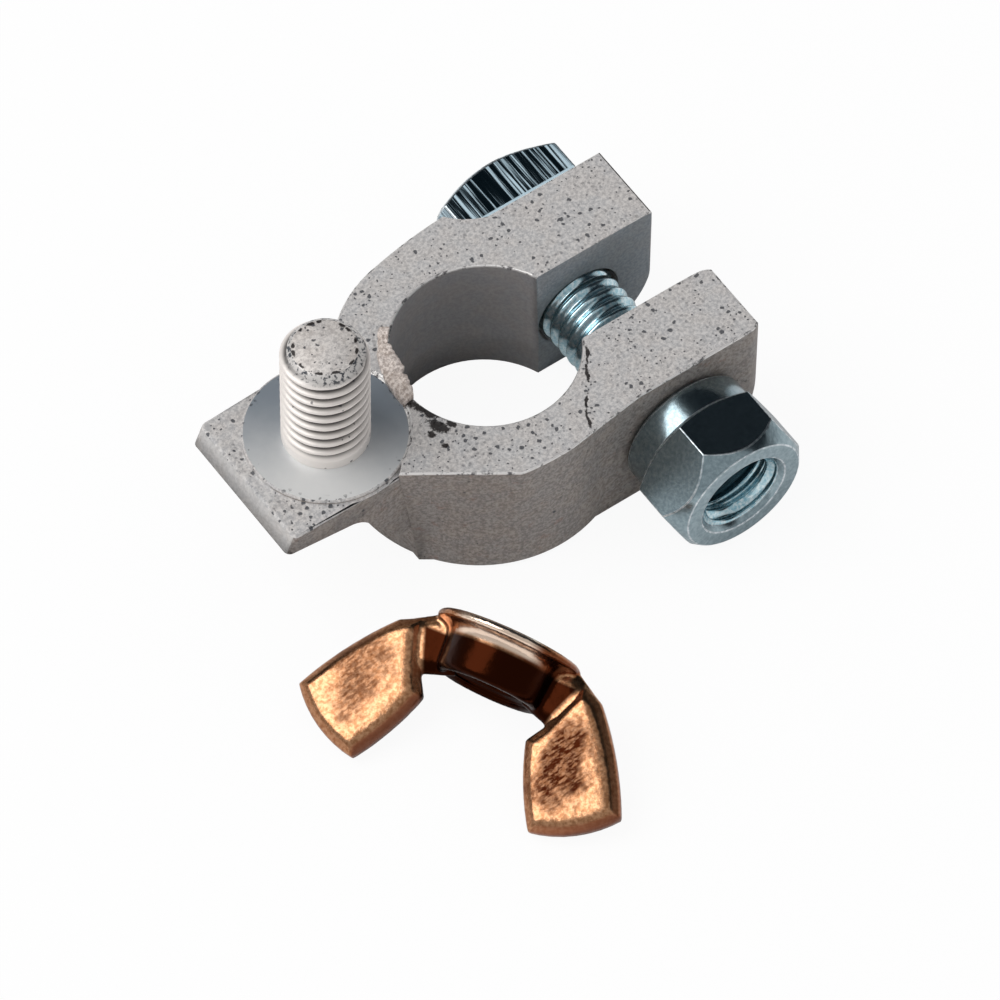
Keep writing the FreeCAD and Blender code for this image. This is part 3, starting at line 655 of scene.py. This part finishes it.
def copper_plate():
    """Die-cast wing nut with bright copper plate. Painted shade darkens a ragged, rougher oval in the
    middle of each wing, the barrel and the sides of the wings, most where they face -Y; a painted
    highlight makes the hollow of the base near white. The cast skin's grain is drawn coarser than it
    is, so that it shows."""
    material, tree, shader, place = new_material("copper_plated_casting")
    across, along = in_wing_nut(tree, place)
    out = add(tree, "Math", (across,), operation="ABSOLUTE")
    skin = add(tree, "TexNoise", grains(place, 0.35 * MM, 4.0, 0.65))
    swells = add(tree, "TexNoise", grains(place, 2.6 * MM, 2.0))
    side, shaded = wing_sides(tree)
    middle, barrel, hollow = hub_parts(tree, out, along)
    oval_shade = painted_oval_shade(tree, place, across, out, along, swells)
    share = add(tree, "MapRange", (skin, 0.36, 0.64), **SMOOTH)
    bright = add(tree, "Mix", {0: share, 6: from_hex("A2704C"), 7: from_hex("CE9C76")}, **COLOUR)
    # Painted shade: a dark ragged oval in the middle of each wing.
    colour = with_marks(tree, oval_shade, 1.0, bright, "3C1709")
    # Painted shade down the sides of the wings, darkest where they face -Y.
    share = add(tree, "MapRange", (shaded, 0.6, 0.9), **SMOOTH)
    side_shade = add(tree, "Mix", {0: share, 6: from_hex("8A4A2A"), 7: from_hex("66331C")}, **COLOUR)
    share = add(tree, "Math", (side, 0.9), operation="MULTIPLY")
    colour = add(tree, "Mix", {0: share, 6: colour, 7: side_shade}, **COLOUR)
    # Painted shade on the barrel's wall.
    colour = with_marks(tree, barrel, 1.0, colour, "2A0F05")
    # Painted highlight: the hollow of the base near white.
    colour = add(tree, "Mix", {0: hollow, 6: colour, 7: from_hex("F6DCC6")}, **COLOUR)
    outside = add(tree, "MapRange", (middle, 0.0, 1.0, 1.0, 0.0), **SMOOTH)
    dull = add(tree, "Math", (side, outside), operation="MULTIPLY")
    metal = add(tree, "MapRange", (dull, 0.0, 1.0, 1.0, 0.5), **SMOOTH)
    rough = add(tree, "MapRange", (oval_shade, 0.0, 1.0, 0.2, 0.4), **SMOOTH)
    tree.links.new(metal, shader.inputs["Metallic"])
    tree.links.new(rough, shader.inputs["Roughness"])
    height = add(tree, "Math", (skin, 0.1, swells), operation="MULTIPLY_ADD")
    finish_surface(tree, shader, colour, height, 0.12 * MM)
    return material


def in_wing_nut(tree, place):
    """How far places lie across the wing nut's axis and along it from its base, in mm."""
    local = add(tree, "Mapping", {
        "Vector": place, "Location": wing_base(), "Rotation": wing_turn().to_euler(),
        "Scale": (MM, MM, MM)}, vector_type="TEXTURE")
    parts = add(tree, "SeparateXYZ", (local,)).node.outputs
    return parts["X"], parts["Z"]


def wing_sides(tree):
    """1 down the sides of the wings and 0 on their broad faces; and how far a face looks to -Y."""
    normal = add(tree, "NewGeometry", output="Normal")
    facing = add(tree, "VectorMath", (normal, wing_turn().col[1]), operation="DOT_PRODUCT",
                 output="Value")
    facing = add(tree, "Math", (facing,), operation="ABSOLUTE")
    facing = add(tree, "MapRange", (facing, 0.78, 0.95, 1.0, 0.0), **SMOOTH)
    shaded = add(tree, "VectorMath", (normal, (0, -1, 0)), operation="DOT_PRODUCT", output="Value")
    strength = add(tree, "MapRange", (shaded, 0.3, 0.8, 0.3, 1.0), **SMOOTH)
    return add(tree, "Math", (facing, strength), operation="MULTIPLY"), shaded


def hub_parts(tree, out, along):
    """1 on all between the wings, on the barrel's wall, and in the hollow of the base."""
    to_root = add(tree, "Math", (along, WING_ROOT_LEAN, out), operation="MULTIPLY_ADD")
    middle = add(tree, "MapRange", (to_root, 8.0, 8.6, 1.0, 0.0), **SMOOTH)
    above = add(tree, "MapRange", (along, 1.6, 2.1), **SMOOTH)
    barrel = add(tree, "Math", (middle, above), operation="MULTIPLY")
    inside = add(tree, "MapRange", (out, 3.0, 4.5, 1.0, 0.0), **SMOOTH)
    below = add(tree, "MapRange", (along, 1.55, 1.85, 1.0, 0.0), **SMOOTH)
    return middle, barrel, add(tree, "Math", (inside, below), operation="MULTIPLY")


def painted_oval_shade(tree, place, across, out, along, swells):
    """1 in a ragged oval of painted shade in the middle of a wing, with streaks in it, weaker on the wing
    at the left."""
    oval_out = add(tree, "MapRange", (across, -1.0, 1.0, 11.0, 9.3), **SMOOTH)
    wide = add(tree, "Math", (out, oval_out), operation="SUBTRACT")
    high = add(tree, "Math", (along, 8.6), operation="SUBTRACT")
    offset = add(tree, "CombineXYZ", (
        add(tree, "Math", (wide, 3.0), operation="DIVIDE"),
        add(tree, "Math", (high, 5.0), operation="DIVIDE")))
    reach = add(tree, "VectorMath", (offset,), operation="LENGTH", output="Value")
    swell = add(tree, "Math", (swells, 0.5), operation="SUBTRACT")
    ragged = add(tree, "Math", (swell, 1.6, reach), operation="MULTIPLY_ADD")
    oval = add(tree, "MapRange", (ragged, 0.4, 1.15, 1.0, 0.0), **SMOOTH)
    strength = add(tree, "MapRange", (across, -1.0, 1.0, 0.75, 1.0), **SMOOTH)
    oval = add(tree, "Math", (oval, strength), operation="MULTIPLY")
    drawn = add(tree, "Mapping", {"Vector": place, "Scale": (0.12, 1.0, 1.0)})
    strokes = add(tree, "TexNoise", grains(drawn, 0.3 * MM, 3.0, 0.7))
    strokes = add(tree, "MapRange", (strokes, 0.36, 0.62), **SMOOTH)
    strokes = add(tree, "MapRange", (strokes, 0.0, 1.0, 0.62, 1.0), **SMOOTH)
    return add(tree, "Math", (oval, strokes), operation="MULTIPLY")


def nylon():
    """Moulded nylon: pale, a little waxy, with a faint moulded grain."""
    material, tree, shader, place = new_material("moulded_nylon", Roughness=0.45, IOR=1.53)
    skin = add(tree, "TexNoise", grains(place, 0.4 * MM))
    colour = add(tree, "Mix", {0: skin, 6: from_hex("CFD6CB"), 7: from_hex("E2E6DC")}, **COLOUR)
    tree.links.new(colour, shader.inputs["Base Color"])
    return material


# ---- pieces of the casting

def casting(finishes):
    """The clamp's casting without its stud, with rounded edges that are rubbed and carry a painted highlight."""
    mesh = merged_copy("clamp_body")
    stud_faces = [face for face in mesh.faces if all(is_on_stud(vert.co) for vert in face.verts)]
    bmesh.ops.delete(mesh, geom=stud_faces, context="FACES")
    bmesh.ops.holes_fill(mesh, edges=[edge for edge in mesh.edges if edge.is_boundary], sides=0)
    close_web_step(mesh)
    join_flat_faces(mesh)
    rounded_faces = set(round_edges(mesh, CASTING_EDGE, only=is_on_upper_rim))
    order = ["top", "side", "bore", "gap", "pad", "end", "edge"]
    for face in mesh.faces:
        region = casting_region(face)
        # Rounded faces above the pad take the edge finish and its painted highlight.
        if face in rounded_faces:
            region = "edge" if face.calc_center_median().z > PAD_TOP else "top"
        face.material_index = order.index(region)
    even_shading(make_piece(
        mesh, "casting", "root", "clamp_body", [finishes[name] for name in order]
    ))


def close_web_step(mesh):
    """Draws the web's upper corner back to the flange's side, where the casting runs smoothly."""
    for vert in mesh.verts:
        if (vert.co - WEB_CORNER).length < NEAR:
            vert.co += WEB_STEP


def is_on_upper_rim(place):
    return place.z > FLANGE_TOP - 0.1 * MM and not is_on_bore_rim(place)


def is_on_bore_rim(place):
    return place.xy.length < BORE_TOP_RADIUS + BORE_RIM and place.z > RING_TOP - BORE_RIM


def is_on_stud(place):
    return ((place - stud_axis).xy.length < STUD_RADIUS + 0.02 * MM
            and place.z > PAD_TOP - 0.01 * MM)


def casting_region(face):
    """Which finish a face of the casting has, by where it lies."""
    centre = face.calc_center_median()
    normal = face.normal
    is_upright = abs(normal.z) < 0.5
    if is_upright and centre.xy.length < BORE_RADIUS + NEAR and centre.xy.dot(normal.xy) < 0:
        return "bore"
    if all(is_on_bore_rim(vert.co) for vert in face.verts):
        return "edge"
    if normal.x < -0.8 and centre.x < FLANGE_END:
        return "end"
    is_at_pad = abs(centre.z - PAD_TOP) < NEAR and (centre - stud_axis).xy.length < PAD_RADIUS
    if normal.z > 0.9 and is_at_pad:
        return "pad"
    if normal.z > 0.7:
        return "top"
    is_at_gap = centre.x > GAP_START and GAP_NEAR - MM < centre.y < GAP_FAR + MM
    if abs(normal.y) > 0.9 and is_at_gap:
        return "gap"
    return "side"


def stud(finishes):
    """The stud of the casting, with its soft cast-and-rolled thread."""
    low = PAD_TOP - NEAR
    mesh = threaded_rod(
        STUD_RADIUS, STUD_THREAD_DEPTH, low, STUD_TOP, low + STUD_PLAIN, STUD_THREAD_END,
        STUD_CHAMFER, STUD_TIP_RADIUS, STUD_ROOT_FLAT,
    )
    bmesh.ops.translate(mesh, verts=mesh.verts, vec=Vector((stud_axis.x, stud_axis.y, 0)))
    end = STUD_TOP - 0.01 * MM
    mark_faces(mesh, [face for face in mesh.faces if face.calc_center_median().z > end])
    make_piece(mesh, "stud_thread", "root", "clamp_body",
               [finishes["thread"], finishes["stud_top"]])


def torn_gate(zinc):
    """Ragged metal left where the runner broke off; it hangs a little over the bore."""
    mesh = bmesh.new()
    bmesh.ops.create_grid(mesh, x_segments=110, y_segments=22, size=0.5)
    for vert in mesh.verts:
        vert.co = torn_place(vert.co.x + 0.5, vert.co.y + 0.5)
    bmesh.ops.solidify(mesh, geom=mesh.faces[:], thickness=-GATE_THICKNESS)
    bmesh.ops.recalc_face_normals(mesh, faces=mesh.faces)
    make_piece(mesh, "torn_gate", "root", "clamp_body", [zinc])


def torn_place(along, across):
    """A place on the torn gate, from shares of the way along it and out from the bore."""
    angle = GATE_START + (GATE_END - GATE_START) * along
    ragged = noise.noise(Vector((along * 8, 3.1, 0))) * 0.55
    ragged += noise.noise(Vector((along * 24, 7.7, 0))) * 0.2
    swell = max(0.0, math.sin(math.pi * min(max((along - 0.22) / 0.78, 0), 1))) ** 0.5
    inner = BORE_TOP_RADIUS + 0.1 * MM - GATE_OVERHANG * swell * (0.75 + ragged)
    reach = inner + (GATE_OUTER - inner) * across
    sink = 0.5 * MM * across ** 3 + 0.3 * MM * (1 - swell)
    lumps = noise.noise(Vector((along * 6, across * 2, 5))) * 0.35 * MM
    lumps += noise.noise(Vector((along * 22, across * 5, 9))) * 0.12 * MM
    return Vector((math.cos(angle) * reach, math.sin(angle) * reach, RING_TOP + lumps - sink))


# ---- pieces of the bolt and its nut

def laid_along_bolt(mesh, beside):
    """Turns a mesh's own Z to -Y and puts its origin on the bolt's axis."""
    place = Matrix.Translation((nut_seat.x, beside, nut_seat.z))
    bmesh.ops.transform(
        mesh, matrix=place @ Matrix.Rotation(math.radians(90), 4, "X"), verts=mesh.verts
    )


def bolt_head(finishes):
    """The bolt's square head, cut from its shank at the seat."""
    mesh = merged_copy("clamp_bolt")
    plane = bmesh.ops.bisect_plane(
        mesh, geom=mesh.verts[:] + mesh.edges[:] + mesh.faces[:],
        plane_co=(0, BOLT_SEAT - NEAR, 0), plane_no=(0, -1, 0), clear_outer=True,
    )
    cut = [item for item in plane["geom_cut"] if isinstance(item, bmesh.types.BMEdge)]
    bmesh.ops.holes_fill(mesh, edges=cut, sides=0)
    join_flat_faces(mesh)
    # The rounded edges take the paler edge finish, rubbed and with a painted highlight.
    mark_faces(mesh, round_edges(mesh, HEAD_EDGE))
    even_shading(make_piece(
        mesh, "bolt_head", "root", "clamp_bolt",
        [finishes["head"], finishes["bright"]],
    ))


def bolt_shank(steel):
    """The bolt's shank, threaded from its seat to its end."""
    mesh = threaded_rod(
        BOLT_RADIUS, BOLT_THREAD_DEPTH, BOLT_START, BOLT_LENGTH, BOLT_THREAD_START,
        BOLT_THREAD_END, BOLT_CHAMFER, BOLT_TIP_RADIUS,
    )
    laid_along_bolt(mesh, BOLT_SEAT)
    make_piece(mesh, "bolt_thread", "root", "clamp_bolt", [steel])


def nut_shell(finishes):
    """The locking nut's outside, with rubbed edges that carry a painted highlight."""
    mesh = merged_copy("lock_nut")
    join_flat_faces(mesh)
    mark_faces(mesh, round_edges(mesh, NUT_EDGE, NUT_EDGE_TURN))
    even_shading(make_piece(
        mesh, "nut_shell", "nut", "lock_nut",
        [finishes["nut"], finishes["bright"]],
    ))


def nut_thread(steel):
    """The thread inside the nut's outer end, past the end of the bolt."""
    mesh = thread_sleeve(NUT_THREAD_START, NUT_THREAD_END)
    laid_along_bolt(mesh, nut_seat.y)
    make_piece(mesh, "nut_thread", "nut", "lock_nut", [steel])


# ---- pieces of the wing nut

def wing_turn():
    """The wing nut's own axes: across its wings, through them and along its bore."""
    across = Vector((-wing_axis.y, wing_axis.x, 0)).normalized()
    return Matrix((across, wing_axis.cross(across), wing_axis)).transposed()


def wing_base():
    """The middle of the wing nut's base."""
    return wing_middle - wing_axis * WING_BORE_MIDDLE


def lay_wing_nut(mesh):
    """Lays a mesh made along Z, with the wings in the XZ plane, where the wing nut lies."""
    place = Matrix.Translation(wing_base()) @ wing_turn().to_4x4()
    bmesh.ops.transform(mesh, matrix=place, verts=mesh.verts)


def arc_between(start, end, radius, steps):
    """Points after start, up to end, on an arc that bulges to the left of the way there."""
    start, end = Vector(start), Vector(end)
    half = (end - start) / 2
    rise = math.sqrt(radius ** 2 - half.length_squared)
    centre = start + half + Vector((half.y, -half.x)).normalized() * rise
    first = (start - centre).angle_signed(Vector((1, 0)))
    sweep = (end - centre).angle_signed(start - centre)
    turns = [first + sweep * step / steps for step in range(1, steps + 1)]
    return [centre + Vector((math.cos(turn), math.sin(turn))) * radius for turn in turns]


def wing_outline():
    """A wing's outline, across and along the nut's axis, run round from its root."""
    tip_outer = (WING_HALF_SPAN, WING_HEIGHT - WING_TIP_FALL)
    tip_inner = (WING_TIP_INSIDE, WING_HEIGHT)
    outline = [Vector(WING_ROOT_TOP), Vector(WING_TURN)]
    outline += arc_between(WING_TURN, tip_inner, WING_INNER_ARC, 8)
    outline += arc_between(tip_inner, tip_outer, WING_TIP_ARC, 8)
    outline += arc_between(tip_outer, WING_SHOULDER, WING_OUTER_ARC, 10)
    outline.append(Vector(WING_ROOT))
    return outline


def pillow(mesh, outline, border):
    """Adds a plate with the same rounded border on both faces: each step is an inset and a rise."""
    plate = bmesh.new()
    face = plate.faces.new([plate.verts.new((point.x, 0, point.y)) for point in outline])
    plate.normal_update()
    for inset, rise in border:
        bmesh.ops.inset_individual(
            plate, faces=[face], thickness=inset * MM, depth=rise * MM, use_even_offset=True
        )
        plate.normal_update()
    geometry = plate.verts[:] + plate.edges[:] + plate.faces[:]
    bmesh.ops.mirror(plate, geom=geometry, axis="Y", merge_dist=0.001 * MM)
    place_on(mesh, plate)


def wing_barrel():
    """The wing nut's barrel with its bore and its base flange."""
    return spun_about_z([
        (4.4 * MM, 0), (BASE_RADIUS - 0.3 * MM, 0), (BASE_RADIUS, 0.3 * MM),
        (BASE_RADIUS, BASE_EDGE - 0.1 * MM), (BASE_RADIUS - 0.15 * MM, BASE_EDGE),
        (5.9 * MM, 1.0 * MM), (5.45 * MM, 1.35 * MM), (HUB_RADIUS, 2.0 * MM),
        (HUB_RADIUS - 0.2 * MM, HUB_HEIGHT - 0.5 * MM),
        (HUB_RADIUS - 0.4 * MM, HUB_HEIGHT - 0.15 * MM), (HUB_RADIUS - 0.65 * MM, HUB_HEIGHT),
        (4.35 * MM, HUB_HEIGHT), (NUT_BORE_RADIUS, HUB_HEIGHT - 0.3 * MM),
        (NUT_BORE_RADIUS, 0.3 * MM), (4.4 * MM, 0),
    ], 72)


def wing_nut(copper):
    """The wing nut: wings and necks grown into the barrel, with one soft cast skin over all."""
    mesh = bmesh.new()
    pillow(mesh, wing_outline(), WING_BORDER)
    pillow(mesh, [Vector(corner) * MM for corner in WING_NECK], NECK_BORDER)
    geometry = mesh.verts[:] + mesh.edges[:] + mesh.faces[:]
    bmesh.ops.mirror(mesh, geom=geometry, axis="X", merge_dist=0)
    place_on(mesh, wing_barrel())
    bmesh.ops.recalc_face_normals(mesh, faces=mesh.faces)
    lay_wing_nut(mesh)
    piece = make_piece(mesh, "wing_nut_shell", "root", "wing_nut", [copper])
    skin = piece.modifiers.new("one_skin", "REMESH")
    skin.mode = "VOXEL"
    skin.voxel_size = WING_SKIN
    skin.use_smooth_shade = True
    soft = piece.modifiers.new("soft_joins", "SMOOTH")
    soft.factor = 0.5
    soft.iterations = 5


def wing_nut_thread(copper):
    """The thread in the wing nut's bore."""
    mesh = thread_sleeve(0.4 * MM, HUB_HEIGHT - 0.4 * MM)
    lay_wing_nut(mesh)
    make_piece(mesh, "wing_nut_bore", "root", "wing_nut", [copper])


# ---- studio

def add_camera():
    back = Vector((
        math.sin(CAMERA_AZIMUTH) * math.cos(CAMERA_ELEVATION),
        -math.cos(CAMERA_AZIMUTH) * math.cos(CAMERA_ELEVATION),
        math.sin(CAMERA_ELEVATION),
    ))
    level = Vector((math.cos(CAMERA_AZIMUTH), math.sin(CAMERA_AZIMUTH), 0))
    right = Matrix.Rotation(CAMERA_ROLL, 3, back) @ level
    turn = Matrix((right, back.cross(right), back)).transposed()
    data = bpy.data.cameras.new("camera")
    data.sensor_width = SENSOR_WIDTH
    data.lens = LENS
    data.clip_end = CAMERA_REACH
    camera = bpy.data.objects.new("camera", data)
    place = Matrix.Translation(CAMERA_AIM + back * CAMERA_DISTANCE)
    camera.matrix_world = place @ turn.to_4x4()
    bpy.context.scene.collection.objects.link(camera)
    bpy.context.scene.camera = camera


def add_softbox():
    data = bpy.data.lights.new("overhead_softbox", "AREA")
    data.shape = "DISK"
    data.size = SOFTBOX_SIZE
    data.energy = SOFTBOX_POWER
    lamp = bpy.data.objects.new("overhead_softbox", data)
    toward = SOFTBOX_DIRECTION.normalized()
    lamp.location = toward * SOFTBOX_DISTANCE
    lamp.rotation_euler = toward.to_track_quat("Z", "Y").to_euler()
    bpy.context.scene.collection.objects.link(lamp)


def add_floor():
    """A pale floor that reads white to the camera and keeps the object's shadow."""
    mesh = bmesh.new()
    bmesh.ops.create_grid(mesh, x_segments=1, y_segments=1, size=FLOOR_SIZE)
    data = bpy.data.meshes.new("floor")
    mesh.to_mesh(data)
    mesh.free()
    material, tree, shader, _ = new_material("white_sweep", Base_Color=(0.9, 0.9, 0.9, 1),
                                             Roughness=0.9)
    glow = add(tree, "Emission", ((1, 1, 1, 1), 1.0))
    seen = add(tree, "LightPath", output="Is Camera Ray")
    share = add(tree, "Math", (seen, FLOOR_GLOW), operation="MULTIPLY")
    surface = add(tree, "MixShader", (share, shader.outputs[0], glow))
    output = next(node for node in tree.nodes if node.type == "OUTPUT_MATERIAL")
    tree.links.new(surface, output.inputs["Surface"])
    data.materials.append(material)
    floor = bpy.data.objects.new("floor", data)
    bpy.context.scene.collection.objects.link(floor)


def add_world():
    """An even studio; what shines mirrors a mid-grey room that is dark on the right."""
    world = bpy.data.worlds.new("studio")
    world.use_nodes = True
    bpy.context.scene.world = world
    tree = world.node_tree
    background = next(node for node in tree.nodes if node.type == "BACKGROUND")
    direction = add(tree, "TexCoord", output="Generated")
    toward = add(tree, "SeparateXYZ", (direction,)).node.outputs
    aside = add(tree, "Math", (toward["X"], 2.0, toward["Y"]), operation="MULTIPLY_ADD")
    dark = add(tree, "Math", (
        add(tree, "MapRange", (aside, 0.05, 0.48), **SMOOTH),
        add(tree, "MapRange", (toward["Z"], 0.1, 0.3), **SMOOTH)), operation="MULTIPLY")
    room = add(tree, "Mix", {0: dark, 6: (0.50, 0.51, 0.52, 1), 7: (0.015, 0.02, 0.025, 1)},
               **COLOUR)
    mirrored = add(tree, "LightPath", output="Is Glossy Ray")
    colour = add(tree, "Mix", {0: mirrored, 6: (0.6, 0.6, 0.61, 1), 7: room}, **COLOUR)
    tree.links.new(colour, background.inputs["Color"])


def build_materials():
    return {
        "top": top_skin(),
        "side": side_skin(),
        "bore": cored_bore(),
        "gap": sawn_gap(),
        "end": smooth_end(),
        "edge": worn_and_highlit_edge(),
        "thread": rolled_thread(),
        "stud_top": cropped_end(),
        "gate": torn_metal(),
        "pad": spot_faced(),
        "head": drawn_steel(),
        "nut": nut_plate(),
        "bright": rubbed_and_highlit_plate(),
        "bolt_thread": thread_plate(),
        "copper": copper_plate(),
        "nylon": nylon(),
    }


bpy.context.scene.view_settings.view_transform = "Standard"
add_camera()
add_floor()
add_world()
add_softbox()

finishes = build_materials()
casting(finishes)
torn_gate(finishes["gate"])
stud(finishes)
bolt_head(finishes)
bolt_shank(finishes["bolt_thread"])
nut_shell(finishes)
nut_thread(finishes["bolt_thread"])
wing_nut(finishes["copper"])
wing_nut_thread(finishes["copper"])
locking_ring = frame["nodes"]["nut_locking_ring"].data
locking_ring.materials.clear()
locking_ring.materials.append(finishes["nylon"])
